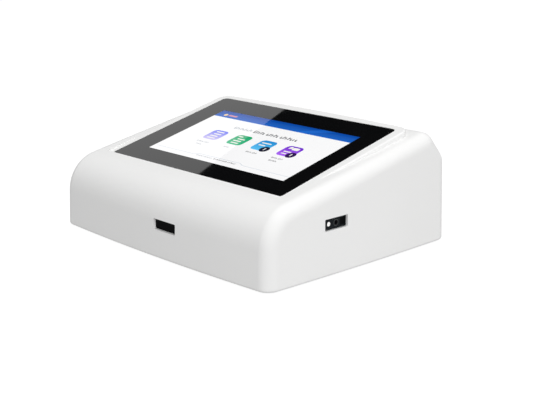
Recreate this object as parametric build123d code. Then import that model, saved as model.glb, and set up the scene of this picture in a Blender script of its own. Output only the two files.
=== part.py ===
"""Countertop self-service terminal: a white wedge housing with a tilted touch screen, a code
reader in its right side, a motor-driven strip tray in its front and its sockets at the back.

Frame: +X to the user's right, +Y to the rear, +Z up. The origin is on the resting surface,
under the middle of the housing. All sizes are in millimetres.
"""
from build123d import *
import math
import os

# ---------------------------------------------------------------- housing
WIDTH = 242.0            # widest point of the base, in the middle of the sides
DEPTH = 197.5            # front to rear, on the centre line
FOOT_PROUD = 1.5         # how far the feet stand below the housing
SIDE_BOW = 1.6           # how far each wall curves out between its corners
FRONT_BOW = 3.9
REAR_BOW = 1.6
DRAFT = 1.5              # degrees, all four walls lean in
WALL = 2.8
SHOULDER_TILT = 11.3     # degrees, the top surface either side of the screen
SHOULDER_Z = 72.7        # height of that surface at the screen's centre line
RIDGE_IN = 21.5          # from the rear wall in to the ridge
REAR_SLOPE = 48.6        # degrees, the sloping panel behind the ridge
FRONT_R = 30.0           # round between the front wall and the top
RIDGE_R = 11.0
REAR_R = 12.0
SIDE_R = 10.0            # round along both sides and up the corners
FOOT_EDGE_R = 2.2
BODY_TOP = 110.0         # height of the stock that the wedge is cut from

# ---------------------------------------------------------------- screen
SCREEN_TILT = 14.04      # degrees
SCREEN_BACK = 97.0       # front wall to the screen's middle
SCREEN_Z = 74.2
GLASS_W = 194.0
GLASS_D = 126.0
GLASS_T = 1.8
GLASS_R = 4.0
GLASS_GAP = 0.3
TAPE_T = 0.2
TAPE_W = 9.0
RIM_FRONT = 1.0          # the raised screen frame's border round the glass: front, sides, rear
RIM_SIDE_FRONT = 5.3
RIM_SIDE_MID = 7.4
RIM_SIDE_REAR = 8.0
RIM_REAR = 6.0
RIM_REAR_MID = 8.5
BEZEL_CORNER_R = 9.0
BEZEL_EDGE_R = 1.4
BEZEL_T = 8.0
LCD_W = 165.0
LCD_D = 100.0
LCD_T = 5.5
LCD_X = 1.5
LCD_S = -0.5
LCD_GAP = 2.5
VIEW_W = 154.2           # the lit area of a seven inch panel
VIEW_D = 83.0
VIEW_X = 2.9
VIEW_S = -0.7
VIEW_T = 0.2

GLASS_SEAT = GLASS_T + TAPE_T
CELL_T = 2.2
BRACKET_T = 1.2
RIBBON_W = 24.0
RIBBON_T = 0.3
RIBBON_X = -20.0

# ---------------------------------------------------------------- base and fixings
BASE_T = 2.5
BASE_LIFT = 0.5          # base plate set up inside the housing's lower edge
BASE_GAP = 0.4
BOSS_R = 4.0
BOSS_H = 30.0
BOSS_IN = 17.0           # from the outer walls to the screw bosses
BOSS_FRONT = 20.7
BOSS_MID = 106.7
BOSS_REAR = 16.7
M3_HOLE_R = 1.7
M3_R = 1.45
M3_HEAD_R = 2.9
M3_HEAD_T = 1.6
M2_HOLE_R = 1.1
M2_R = 0.9
M2_HEAD_R = 1.9
M2_HEAD_T = 1.2
SHEET_T = 1.5
PIN_CLEAR = 0.05
INSERT_R = 2.1
INSERT_L = 5.0
FOOT_IN_X = 37.0         # from the outer walls to the feet
FOOT_IN_Y = 28.7
FOOT_R = 8.0
FOOT_RECESS = 1.0
CLEAR = 0.1              # small gap between neighbouring fixed pieces
VENT_COUNT = 15
VENT_PITCH = 4.5
VENT_SLOT_W = 2.0
VENT_SLOT_L = 16.0
VENT_GAP = 15.0          # from the board's front edge to the vents
SPEAKER_X = -66.0
SPEAKER_BACK = 58.7
SPEAKER_R = 14.0
SPEAKER_SLOTS = 5

# ---------------------------------------------------------------- strip tray and its drive
TRAY_X = 13.6
TRAY_Z = 27.1
TRAY_W = 24.4
TRAY_H = 7.4
TRAY_L = 86.0
TRAY_FACE_T = 3.0
TRAY_RECESS = 2.7        # the tray's face sits this far inside the front wall
TRAY_GAP = 0.3
TRAY_CORNER_R = 0.5
TRAY_TRAVEL = 60.0
STRIP_W = 6.0            # the trough that a test strip lies in
STRIP_DEPTH = 1.6
MODULE = 0.8
PINION_TEETH = 16
PRESSURE = 20.0
BACKLASH = 0.12
RACK_W = 4.6
RACK_BACK = 0.9
PINION_W = 4.0
PINION_BACK = 22.7       # front wall to the pinion's axis
SHAFT_R = 1.0
HUB_R = 1.8
MOTOR_R = 10.0
MOTOR_L = 18.0
GUIDE_WALL = 3.0
GUIDE_FLOOR = 3.0
GUIDE_ROOF = 2.2
TRAY_END_GAP = 1.5
FLAG_L = 7.0
FLAG_W = 1.2
FLAG_H = 3.6
GUIDE_GAP = 2.4          # front wall's inner surface to the guide
LEG_T = 3.0
FORK_W = 3.0
HEAD_W = 18.0
HEAD_L = 22.0
HEAD_H = 13.0
HEAD_BACK = 48.7         # front wall to the reading head
HEAD_MOUTH_W = 11.0
HEAD_MOUTH_L = 14.0

# ---------------------------------------------------------------- code reader
SCAN_BACK = 69.2         # front wall to the middle of the reader's face
SCAN_Z = 38.85
SCAN_W = 22.1
SCAN_H = 8.0
SCAN_DEPTH = 8.0
SCAN_RECESS = 1.6
SCAN_GAP = 0.3
EYE_R = 2.0
LED_R = 1.8
EYE_OFFSET = 0.9         # the lens, from the middle of the face
EYE_STEP = 7.1           # lamp to lens
SIGHT_STEP = 7.0         # lens to aiming window
SIGHT_W = 5.8
SIGHT_H = 5.5

# ---------------------------------------------------------------- sockets at the back
PANEL_IN = 7.25          # from the rear wall in to the socket panel's outer face
PANEL_T = 2.0
WINDOW_W = 124.0
WINDOW_Z = 10.5
WINDOW_H = 21.5
BOARD_W = 130.0
BOARD_D = 76.0
BOARD_T = 1.6
BOARD_LIFT = 6.0
SOCKET_GAP = 0.15
JACK_X = 50.0
JACK_W = 9.0
JACK_H = 11.0
JACK_BORE_R = 2.75
USB_X = 8.0
USB_PITCH = 18.0
USB_W = 14.4
USB_H = 7.0
USB_MOUTH_W = 12.5
USB_MOUTH_H = 5.1
NET_X = -18.0
NET_W = 16.0
NET_H = 13.4
SWITCH_W = 19.0
SWITCH_H = 13.0
ROCKER_X = -44.0
ROCKER_R = 7.7
ROCKER_PROUD = 2.5
ROCKER_VEE = 1.6
ROCKER_H = 9.6
ROCKER_GAP = 0.3
ROCKER_PIN_R = 1.0
ROCKER_TILT = 9.0
CHIP_X = -8.0
CHIP_IN = 41.5           # from the socket panel to the processor
PLUG_H = 5.0
SINK_FINS = 7

# ---------------------------------------------------------------- worked-out places
BOTTOM = FOOT_PROUD
FRONT_Y = -DEPTH / 2
REAR_Y = DEPTH / 2
SCREEN_Y = FRONT_Y + SCREEN_BACK
PINION_Y = FRONT_Y + PINION_BACK
HEAD_Y = FRONT_Y + HEAD_BACK
SCAN_Y = FRONT_Y + SCAN_BACK
SPEAKER_Y = FRONT_Y + SPEAKER_BACK
PANEL_Y = REAR_Y - PANEL_IN
CHIP_Y = PANEL_Y - CHIP_IN
FOOT_X = WIDTH / 2 - FOOT_IN_X
FOOT_Y = DEPTH / 2 - FOOT_IN_Y
BOSS_X = WIDTH / 2 - BOSS_IN
BOSS_YS = (FRONT_Y + BOSS_FRONT, FRONT_Y + BOSS_MID, REAR_Y - BOSS_REAR)
BASE_Z = BOTTOM + BASE_LIFT
BASE_TOP = BASE_Z + BASE_T
BOARD_Z = BASE_TOP + BOARD_LIFT
BOARD_TOP = BOARD_Z + BOARD_T
PITCH_R = MODULE * PINION_TEETH / 2
TRAY_BOTTOM = TRAY_Z - TRAY_H / 2
TRAY_TOP = TRAY_Z + TRAY_H / 2
RACK_TIP_Z = TRAY_BOTTOM + 0.2
RACK_PITCH_Z = RACK_TIP_Z + MODULE
PINION_Z = RACK_PITCH_Z - PITCH_R
TRAY_FACE_Y = FRONT_Y + TRAY_RECESS
SCREEN = Plane(
    origin=(0, SCREEN_Y, SCREEN_Z),
    x_dir=(1, 0, 0),
    z_dir=(0, -math.sin(math.radians(SCREEN_TILT)), math.cos(math.radians(SCREEN_TILT))),
)
LCD_TOP = -LCD_GAP
LCD_BACK = LCD_TOP - LCD_T
BOARD_REAR = PANEL_Y - PANEL_T - CLEAR
BOARD_FRONT = BOARD_REAR - BOARD_D
VENT_Y = BOARD_FRONT - VENT_GAP
RIBBON_Y = BOARD_FRONT + 12
SWITCH_Z = WINDOW_Z + WINDOW_H / 2 + 1
ROCKER_AXIS_Y = PANEL_Y - 1.4
RACK_FRONT = TRAY_FACE_Y + TRAY_FACE_T + 9
RACK_TOP = RACK_PITCH_Z + 1.25 * MODULE + RACK_BACK
FLAG_Z = RACK_TOP + TRAY_GAP + FLAG_H / 2
MOTOR_X = TRAY_X + TRAY_W / 2 + TRAY_GAP + GUIDE_WALL + 5.0
GUIDE_HALF = TRAY_W / 2 + TRAY_GAP + GUIDE_WALL
GUIDE_FRONT = FRONT_Y + WALL + GUIDE_GAP
GUIDE_REAR = TRAY_FACE_Y + TRAY_L + TRAY_END_GAP + GUIDE_WALL
GUIDE_LOW = TRAY_BOTTOM - TRAY_GAP - GUIDE_FLOOR
GUIDE_HIGH = TRAY_TOP + TRAY_GAP + GUIDE_ROOF
EYE_Y = SCAN_Y + EYE_OFFSET
LAMP_Y = EYE_Y - EYE_STEP
SIGHT_Y = EYE_Y + SIGHT_STEP
SCAN_SCREW_REACH = SCAN_W / 2 + 7
SCAN_SCREW_YS = (SCAN_Y - SCAN_SCREW_REACH, SCAN_Y + SCAN_SCREW_REACH)
SCAN_BACK_X = (
    WIDTH / 2
    - SIDE_BOW * (SCAN_Y / (DEPTH / 2)) ** 2
    - (SCAN_Z - BOTTOM) * math.tan(math.radians(DRAFT))
    - SCAN_RECESS
    - SCAN_DEPTH
)


def block(x0, x1, y0, y1, z0, z1):
    """A box between two corners."""
    return Pos((x0 + x1) / 2, (y0 + y1) / 2, (z0 + z1) / 2) * Box(x1 - x0, y1 - y0, z1 - z0)


def rod(radius, start, end):
    """A round bar from one point to another."""
    line = Edge.make_line(start, end)
    return extrude(Plane(origin=start, z_dir=line % 0) * Circle(radius), line.length)


def tube(outer, inner, start, end):
    return rod(outer, start, end) - rod(inner, start, end)


def screw(head, direction, length, shank=M3_R):
    """A pan-head screw: head is the point under the head, direction the way it is driven."""
    way = Vector(*direction).normalized()
    under = Vector(*head)
    body = rod(shank, under - way * 0.1, under + way * length)
    cap = rod(M3_HEAD_R, under - way * M3_HEAD_T, under)
    cap = fillet(rim(cap, under - way * M3_HEAD_T), 0.6)
    socket_plane = Plane(origin=under - way * M3_HEAD_T, z_dir=way)
    cross = socket_plane * (Rectangle(2.8, 0.7) + Rectangle(0.7, 2.8))
    return cap + body - extrude(cross, 0.9)


def nearest_edge(shape, point):
    """The edge whose middle is closest to a point."""
    target = Vector(*point)
    return min(shape.edges(), key=lambda e: (e.position_at(0.5) - target).length)


def rim(shape, centre):
    """The round edge whose centre is closest to a point."""
    target = Vector(*centre)
    rounds = shape.edges().filter_by(GeomType.CIRCLE)
    return min(rounds, key=lambda e: (e.arc_center - target).length)


def group(solids):
    """Separate solids kept in one node."""
    return Compound(children=[s for shape in solids for s in shape.solids()])


# ---------------------------------------------------------------- housing
def plan_outline(inset):
    """The housing's four bowed walls, seen from above, at the lower edge."""
    half = WIDTH / 2 - inset
    front = FRONT_Y + inset
    rear = REAR_Y - inset
    corner_x = half - SIDE_BOW
    corner_front = front + FRONT_BOW
    corner_rear = rear - REAR_BOW
    walls = [
        ThreePointArc((-corner_x, corner_front), (0, front), (corner_x, corner_front)),
        ThreePointArc((corner_x, corner_front), (half, 0), (corner_x, corner_rear)),
        ThreePointArc((corner_x, corner_rear), (0, rear), (-corner_x, corner_rear)),
        ThreePointArc((-corner_x, corner_rear), (-half, 0), (-corner_x, corner_front)),
    ]
    return make_face(Wire(walls))


def shoulder_z(y, inset=0.0):
    """Height of the top surface either side of the screen."""
    slope = math.radians(SHOULDER_TILT)
    return SHOULDER_Z + (y - SCREEN_Y) * math.tan(slope) - inset / math.cos(slope)


def wedge(inset):
    """The whole wedge, or with an inset the space inside its walls."""
    body = extrude(Pos(0, 0, BOTTOM) * plan_outline(inset), BODY_TOP, taper=DRAFT)
    above = Plane(origin=(0, SCREEN_Y, shoulder_z(SCREEN_Y, inset))).rotated((SHOULDER_TILT, 0, 0))
    body -= above * Pos(0, 0, BODY_TOP) * Box(3 * WIDTH, 3 * DEPTH, 2 * BODY_TOP)
    ridge_y = REAR_Y - RIDGE_IN
    slope = math.radians(REAR_SLOPE)
    inward = Vector(0, -math.sin(slope), -math.cos(slope)) * inset
    behind = Plane(origin=Vector(0, ridge_y, shoulder_z(ridge_y)) + inward).rotated((-REAR_SLOPE, 0, 0))
    body -= behind * Pos(0, 0, BODY_TOP) * Box(3 * WIDTH, 3 * DEPTH, 2 * BODY_TOP)
    lean = math.tan(math.radians(DRAFT))
    front_edge = (0, FRONT_Y, shoulder_z(FRONT_Y, inset))
    body = fillet(nearest_edge(body, front_edge), FRONT_R - inset)
    body = fillet(nearest_edge(body, (0, ridge_y, shoulder_z(ridge_y, inset))), RIDGE_R - inset)
    knee_z = shoulder_z(ridge_y) - (REAR_Y - ridge_y) * math.tan(slope)
    body = fillet(nearest_edge(body, (0, REAR_Y - lean * knee_z, knee_z)), REAR_R - inset)
    side_edges = [
        e for e in body.edges()
        if abs(e.position_at(0.5).X) > WIDTH / 4 and e.position_at(0.5).Z > BOTTOM + 0.5
    ]
    return fillet(side_edges, SIDE_R - inset)


def soft_foot(body):
    """The outer surface with its lower edge rounded."""
    low = [e for e in body.edges() if abs(e.position_at(0.5).Z - BOTTOM) < 0.01]
    return fillet(low, FOOT_EDGE_R)


def bezel_outline():
    """The raised frame that carries the screen, in the screen's own plane."""
    front = -GLASS_D / 2 - RIM_FRONT
    rear = GLASS_D / 2 + RIM_REAR
    rear_mid = GLASS_D / 2 + RIM_REAR_MID
    half_front = GLASS_W / 2 + RIM_SIDE_FRONT
    half_mid = GLASS_W / 2 + RIM_SIDE_MID
    half_rear = GLASS_W / 2 + RIM_SIDE_REAR
    sides = [
        Line((-half_front, front), (half_front, front)),
        ThreePointArc((half_front, front), (half_mid, 0), (half_rear, rear)),
        ThreePointArc((half_rear, rear), (0, rear_mid), (-half_rear, rear)),
        ThreePointArc((-half_rear, rear), (-half_mid, 0), (-half_front, front)),
    ]
    face = make_face(Wire(sides))
    face = fillet(face.vertices().sort_by(Axis.Y)[-2:], BEZEL_CORNER_R)
    return fillet(face.vertices().sort_by(Axis.Y)[:2], GLASS_R)


def bezel_edge_rounded(outline):
    """The raised frame as a solid block with its upper edge rounded, reaching well below the top."""
    raised = extrude(SCREEN * outline, -3 * BEZEL_T)
    top = raised.faces().sort_by(Axis.Z)[-1]
    return fillet(top.edges(), BEZEL_EDGE_R)


def front_hole(clearance, y0, y1):
    """The space that the strip tray slides through, with some clearance all round."""
    half_w = TRAY_W / 2 + clearance
    half_h = TRAY_H / 2 + clearance
    hole = block(TRAY_X - half_w, TRAY_X + half_w, y0, y1, TRAY_Z - half_h, TRAY_Z + half_h)
    return fillet(hole.edges().filter_by(Axis.Y), TRAY_CORNER_R + clearance)


def side_hole(clearance, x0, x1):
    """The space that the code reader's face looks out of."""
    half_w = SCAN_W / 2 + clearance
    half_h = SCAN_H / 2 + clearance
    hole = block(x0, x1, SCAN_Y - half_w, SCAN_Y + half_w, SCAN_Z - half_h, SCAN_Z + half_h)
    return fillet(hole.edges().filter_by(Axis.X), 0.8)


def boss_places():
    return [(side * BOSS_X, y) for side in (-1, 1) for y in BOSS_YS]


def top_housing(outer, cavity):
    """The one-piece white shell: walls, sloping top, raised screen frame, bosses and openings."""
    outline = bezel_outline()
    sunk = extrude(SCREEN * outline, 2 * BEZEL_T)
    plate = extrude(SCREEN * outline, -BEZEL_T)
    shell = (outer - cavity) + (bezel_edge_rounded(outline) - cavity) + (plate & outer)
    for x, y in boss_places():
        shell += rod(BOSS_R, (x, y, BASE_TOP + CLEAR), (x, y, BASE_TOP + BOSS_H)) & outer
        gusset = math.copysign(1, x)
        rib = block(min(x, x + gusset * 14), max(x, x + gusset * 14), y - 1, y + 1,
                    BASE_TOP + CLEAR + 2, BASE_TOP + BOSS_H)
        shell += rib & outer
    for y in SCAN_SCREW_YS:
        shell += rod(3.5, (SCAN_BACK_X, y, SCAN_Z), (WIDTH / 2 - SIDE_BOW - WALL / 2, y, SCAN_Z))
    shell += window_frame()
    shell -= sunk
    shell -= extrude(SCREEN * Pos(0, 0, -GLASS_SEAT) * glass_outline(GLASS_GAP), 2 * GLASS_SEAT)
    shell -= extrude(SCREEN * Pos(LCD_X, LCD_S, 0) * Rectangle(LCD_W + 1, LCD_D + 1), -4 * BEZEL_T)
    for place in lcd_screw_places():
        shell -= extrude(SCREEN * Pos(place[0], place[1], -BEZEL_T - 1) * Circle(M2_HOLE_R), 6.0)
    for x, y in boss_places():
        shell -= rod(INSERT_R, (x, y, BASE_TOP), (x, y, BASE_TOP + INSERT_L + CLEAR))
        shell -= rod(M3_HOLE_R, (x, y, BASE_TOP), (x, y, BASE_TOP + 14))
    for y in SCAN_SCREW_YS:
        shell -= rod(M2_HOLE_R, (SCAN_BACK_X - 1, y, SCAN_Z), (SCAN_BACK_X + 6, y, SCAN_Z))
    shell -= front_hole(TRAY_GAP, FRONT_Y - 5, FRONT_Y + 12)
    shell -= side_hole(SCAN_GAP, WIDTH / 2 - 12, WIDTH / 2 + 5)
    shell -= window(0, PANEL_Y - 1, REAR_Y + 5)
    return shell


def window(grow, y0, y1):
    """The opening at the back that shows the socket panel."""
    half = WINDOW_W / 2 + grow
    hole = block(-half, half, y0, y1, WINDOW_Z - grow, WINDOW_Z + WINDOW_H + grow)
    return fillet(hole.edges().filter_by(Axis.Y), 2.0 + grow)


def window_frame():
    """A collar that runs from the rear wall in to the socket panel."""
    wall_y = REAR_Y - REAR_BOW - WALL / 2
    return window(2.0, PANEL_Y + CLEAR, wall_y) - window(0, PANEL_Y, wall_y + 1)


# ---------------------------------------------------------------- screen
def glass_outline(gap=0.0):
    return RectangleRounded(GLASS_W + 2 * gap, GLASS_D + 2 * gap, GLASS_R + gap)


def cover_glass():
    glass = extrude(SCREEN * glass_outline(), -GLASS_T)
    return chamfer(glass.faces().sort_by(Axis.Z)[-1].edges(), 0.25)


def glass_tape():
    """The sticky gasket frame under the glass."""
    under = SCREEN * Pos(0, 0, -GLASS_T)
    frame = extrude(under * glass_outline(-0.6), -TAPE_T)
    inner = RectangleRounded(LCD_W + 6, LCD_D + 6, 2.0)
    return frame - extrude(SCREEN * Pos(LCD_X, LCD_S, 0) * inner, -2 * GLASS_SEAT)


def lcd_cell():
    """The display's own glass sandwich."""
    return SCREEN * Pos(LCD_X, LCD_S, LCD_TOP - CELL_T / 2) * Box(LCD_W, LCD_D, CELL_T)


def lcd_film():
    """The polariser over the lit area."""
    return SCREEN * Pos(VIEW_X, VIEW_S, LCD_TOP + VIEW_T / 2) * Box(VIEW_W, VIEW_D, VIEW_T)


def lcd_backlight():
    depth = LCD_T - CELL_T
    body = SCREEN * Pos(LCD_X, LCD_S, LCD_BACK + depth / 2) * Box(LCD_W, LCD_D, depth)
    return fillet(body.faces().sort_by(Axis.Z)[0].edges(), 0.6)


def lcd_screw_places():
    reach_x = LCD_W / 2 + 8
    reach_s = LCD_D / 2 - 12
    return [(LCD_X + a * reach_x, LCD_S + b * reach_s) for a in (-1, 1) for b in (-1, 1)]


def lcd_bracket():
    """A pressed frame across the back of the display, screwed to the housing at four ears."""
    base = SCREEN * Pos(LCD_X, LCD_S, -BEZEL_T - BRACKET_T / 2)
    plate = base * Box(LCD_W + 26, LCD_D - 14, BRACKET_T)
    opening = base * Box(LCD_W - 40, LCD_D - 44, 3 * BRACKET_T)
    plate -= opening
    for x, s in lcd_screw_places():
        plate -= extrude(SCREEN * Pos(x, s, -BEZEL_T - 2 * BRACKET_T) * Circle(M2_R + 0.2), 6)
    return plate


def lcd_screws():
    down = SCREEN.z_dir
    out = []
    for x, s in lcd_screw_places():
        head = SCREEN.from_local_coords(Vector(x, s, -BEZEL_T - BRACKET_T))
        out.append(small_screw(head, down, 5.0))
    return group(out)


def small_screw(head, direction, length):
    """A two millimetre screw with a cross slot."""
    way = Vector(*direction).normalized()
    under = Vector(*head)
    top = under - way * M2_HEAD_T
    solid = rod(M2_HEAD_R, top, under) + rod(M2_R, under - way * 0.1, under + way * length)
    solid = fillet(rim(solid, top), 0.4)
    cross = Plane(origin=top, z_dir=way) * (Rectangle(1.8, 0.5) + Rectangle(0.5, 1.8))
    return solid - extrude(cross, 0.6)


def display_ribbon():
    """The flat cable from the display's back to the main board, with a slack bend in it."""
    start = SCREEN.from_local_coords(Vector(0, -10, LCD_BACK - RIBBON_T))
    slide = SCREEN.y_dir
    end = Vector(0, RIBBON_Y, BOARD_TOP + PLUG_H - 1.5)
    route = FilletPolyline(
        start,
        start + slide * 16,
        Vector(0, start.Y + 26, start.Z - 16),
        Vector(0, end.Y - 14, end.Z + 12),
        Vector(0, end.Y - 8, end.Z),
        end,
        radius=3.0,
    )
    first = Plane(origin=start, z_dir=route % 0, x_dir=(1, 0, 0))
    return Pos(RIBBON_X, 0, 0) * sweep(first * Rectangle(RIBBON_W, RIBBON_T), path=route)


# ---------------------------------------------------------------- base
def base_plate():
    """The flat floor: it sits inside the walls' lower edge and carries everything below."""
    stock = extrude(Pos(0, 0, BASE_Z) * plan_outline(WALL + BASE_GAP + 0.3), BASE_T)
    plate = fillet(stock.edges().filter_by(Axis.Z), SIDE_R - WALL - BASE_GAP)
    for x, y in boss_places():
        plate -= rod(M3_HOLE_R, (x, y, BASE_Z - 1), (x, y, BASE_TOP + 1))
        plate -= rod(M3_HEAD_R + 0.3, (x, y, BASE_Z - 1), (x, y, BASE_Z + M3_HEAD_T))
    for x in (-FOOT_X, FOOT_X):
        for y in (-FOOT_Y, FOOT_Y):
            plate -= rod(FOOT_R + CLEAR, (x, y, BASE_Z - 1), (x, y, BASE_Z + FOOT_RECESS))
    for x, y in standoff_places():
        plate -= rod(M3_HOLE_R, (x, y, BASE_Z - 1), (x, y, BASE_TOP + 1))
        plate -= rod(M3_HEAD_R + 0.3, (x, y, BASE_Z - 1), (x, y, BASE_Z + M3_HEAD_T))
    for index in range(VENT_COUNT):
        x = (index - (VENT_COUNT - 1) / 2) * VENT_PITCH
        slot = Pos(x, VENT_Y, BASE_Z + BASE_T / 2) * Box(VENT_SLOT_W, VENT_SLOT_L, 3 * BASE_T)
        plate -= slot
    for index in range(SPEAKER_SLOTS):
        x = SPEAKER_X + (index - (SPEAKER_SLOTS - 1) / 2) * VENT_PITCH
        plate -= Pos(x, SPEAKER_Y, BASE_Z + BASE_T / 2) * Box(VENT_SLOT_W, 15, 3 * BASE_T)
    for x, y in guide_screw_places() + motor_screw_places() + panel_screw_places():
        plate -= rod(M2_HOLE_R, (x, y, BASE_Z + 0.6), (x, y, BASE_TOP + 1))
    return plate


def rubber_feet():
    """Four round pads, stuck in shallow recesses under the base plate."""
    feet = []
    for x in (-FOOT_X, FOOT_X):
        for y in (-FOOT_Y, FOOT_Y):
            pad = rod(FOOT_R, (x, y, 0), (x, y, BASE_Z + FOOT_RECESS))
            feet.append(fillet(rim(pad, (x, y, 0)), 0.6))
    return group(feet)


def base_screws():
    up = (0, 0, 1)
    return group([screw((x, y, BASE_Z + M3_HEAD_T), up, 8.0) for x, y in boss_places()])


def threaded_inserts():
    """Brass inserts pressed into the bosses."""
    out = []
    for x, y in boss_places():
        out.append(tube(INSERT_R - 0.02, M3_R + 0.05, (x, y, BASE_TOP + CLEAR),
                        (x, y, BASE_TOP + INSERT_L)))
    return group(out)


# ---------------------------------------------------------------- main board
def standoff_places():
    reach_x = BOARD_W / 2 - 5
    return [(x, y) for x in (-reach_x, reach_x) for y in (BOARD_FRONT + 5, BOARD_REAR - 20)]


def main_board():
    board = block(-BOARD_W / 2, BOARD_W / 2, BOARD_FRONT, BOARD_REAR, BOARD_Z, BOARD_TOP)
    board = fillet(board.edges().filter_by(Axis.Z), 2.0)
    for x, y in standoff_places():
        board -= rod(M3_HOLE_R, (x, y, BOARD_Z - 1), (x, y, BOARD_TOP + 1))
    return board


def board_standoffs():
    """Hexagonal posts between the base plate and the board."""
    out = []
    for x, y in standoff_places():
        post = extrude(Pos(x, y, BASE_TOP) * RegularPolygon(3.0, 6), BOARD_LIFT)
        out.append(post - rod(M3_R + 0.05, (x, y, BASE_TOP - 1), (x, y, BOARD_Z + 1)))
    return group(out)


def board_screws():
    """One screw down through the board and one up through the base at each post."""
    out = []
    for x, y in standoff_places():
        out.append(screw((x, y, BOARD_TOP), (0, 0, -1), 4.2))
        out.append(screw((x, y, BASE_Z + M3_HEAD_T), (0, 0, 1), 3.4))
    return group(out)


def processor():
    chip = Pos(CHIP_X, CHIP_Y, BOARD_TOP + 0.6) * Box(18, 18, 1.2)
    return chamfer(chip.faces().sort_by(Axis.Z)[-1].edges(), 0.2)


def memory_chips():
    out = []
    for index in range(2):
        place = Pos(CHIP_X + 18, CHIP_Y - 6 + 12 * index, BOARD_TOP + 0.5)
        out.append(place * Box(12, 9, 1.0))
    return group(out)


def capacitors():
    """Four upright cans beside the power input."""
    out = []
    for index in range(4):
        x = JACK_X - 27 + 9 * index
        y = BOARD_REAR - 22
        can = rod(3.0, (x, y, BOARD_TOP), (x, y, BOARD_TOP + 8))
        out.append(fillet(rim(can, (x, y, BOARD_TOP + 8)), 0.6))
    return group(out)


def board_connectors():
    """Header sockets for the display, the code reader, the motor and the speaker."""
    plugs = [Pos(RIBBON_X, RIBBON_Y + 2.5, BOARD_TOP + PLUG_H / 2) * Box(RIBBON_W + 4, 5, PLUG_H)]
    plugs[0] -= Pos(RIBBON_X, RIBBON_Y - 0.5, BOARD_TOP + PLUG_H - 1.5) * Box(
        RIBBON_W + 0.2, 1.2, RIBBON_T + 0.2)
    for index in range(3):
        x = BOARD_W / 2 - 14 - 14 * index
        shell = Pos(x, BOARD_FRONT + 5, BOARD_TOP + PLUG_H / 2) * Box(10, 5, PLUG_H)
        shell -= Pos(x, BOARD_FRONT + 5, BOARD_TOP + PLUG_H / 2 + 1) * Box(8, 3.4, PLUG_H)
        plugs.append(shell)
    return group(plugs)


def heat_sink():
    """A finned block on the processor."""
    floor_z = BOARD_TOP + 1.2
    sink = Pos(CHIP_X, CHIP_Y, floor_z + 1.0) * Box(24, 24, 2.0)
    for index in range(SINK_FINS):
        x = CHIP_X - 11.4 + index * 22.8 / (SINK_FINS - 1)
        sink += Pos(x, CHIP_Y, floor_z + 5.5) * Box(1.2, 24, 9.0)
    return sink


# ---------------------------------------------------------------- sockets at the back
def rear_panel():
    """The upright plate behind the rear window, with a hole for each socket and a foot."""
    half = WINDOW_W / 2 + 5
    plate = block(-half, half, PANEL_Y - PANEL_T, PANEL_Y, BASE_TOP, WINDOW_Z + WINDOW_H + 5)
    foot = block(-half, half, PANEL_Y - PANEL_T - 6, PANEL_Y - PANEL_T, BASE_TOP, BASE_TOP + 2)
    plate += foot
    for x0, x1, z0, z1 in socket_cuts():
        plate -= block(x0 - SOCKET_GAP, x1 + SOCKET_GAP, PANEL_Y - 9, PANEL_Y + 1,
                       z0 - SOCKET_GAP, z1 + SOCKET_GAP)
    for x, y in panel_screw_places():
        plate -= rod(M2_R + 0.2, (x, y, BASE_TOP - 1), (x, y, BASE_TOP + 3))
    return plate


def panel_screw_places():
    reach = WINDOW_W / 2 - 2
    return [(x, PANEL_Y - PANEL_T - 3) for x in (-reach, reach)]


def panel_screws():
    return group([
        small_screw((x, y, BASE_TOP + 2), (0, 0, -1), 3.6) for x, y in panel_screw_places()
    ])


def socket_cuts():
    """x0, x1, z0, z1 of each socket's body where it passes through the panel."""
    usb = [
        (USB_X + step - USB_W / 2, USB_X + step + USB_W / 2, BOARD_TOP, BOARD_TOP + USB_H)
        for step in (-USB_PITCH / 2, USB_PITCH / 2)
    ]
    return usb + [
        (JACK_X - JACK_W / 2, JACK_X + JACK_W / 2, BOARD_TOP, BOARD_TOP + JACK_H),
        (NET_X - NET_W / 2, NET_X + NET_W / 2, BOARD_TOP, BOARD_TOP + NET_H),
        (ROCKER_X - SWITCH_W / 2, ROCKER_X + SWITCH_W / 2, SWITCH_Z - SWITCH_H / 2,
         SWITCH_Z + SWITCH_H / 2),
    ]


def power_jack():
    """A barrel jack with its centre pin."""
    z = BOARD_TOP + JACK_H / 2
    back = PANEL_Y - 13
    body = block(JACK_X - JACK_W / 2, JACK_X + JACK_W / 2, back, PANEL_Y + 0.4, BOARD_TOP,
                 BOARD_TOP + JACK_H)
    body -= rod(JACK_BORE_R, (JACK_X, PANEL_Y - 9.5, z), (JACK_X, PANEL_Y + 1, z))
    body += rod(1.0, (JACK_X, PANEL_Y - 10, z), (JACK_X, PANEL_Y - 0.6, z))
    return body


def usb_ports():
    """Two type A sockets: a metal sleeve with its contact tongue."""
    out = []
    for step in (-USB_PITCH / 2, USB_PITCH / 2):
        x = USB_X + step
        shell = block(x - USB_W / 2, x + USB_W / 2, PANEL_Y - 14, PANEL_Y + 0.4, BOARD_TOP,
                      BOARD_TOP + USB_H)
        hollow = block(x - USB_MOUTH_W / 2, x + USB_MOUTH_W / 2, PANEL_Y - 12.5, PANEL_Y + 1,
                       BOARD_TOP + (USB_H - USB_MOUTH_H) / 2, BOARD_TOP + (USB_H + USB_MOUTH_H) / 2)
        tongue = block(x - 5.6, x + 5.6, PANEL_Y - 13, PANEL_Y - 2.5, BOARD_TOP + USB_H / 2 + 0.2,
                       BOARD_TOP + USB_H / 2 + 2.0)
        out.append(shell - hollow + tongue)
    return group(out)


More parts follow.
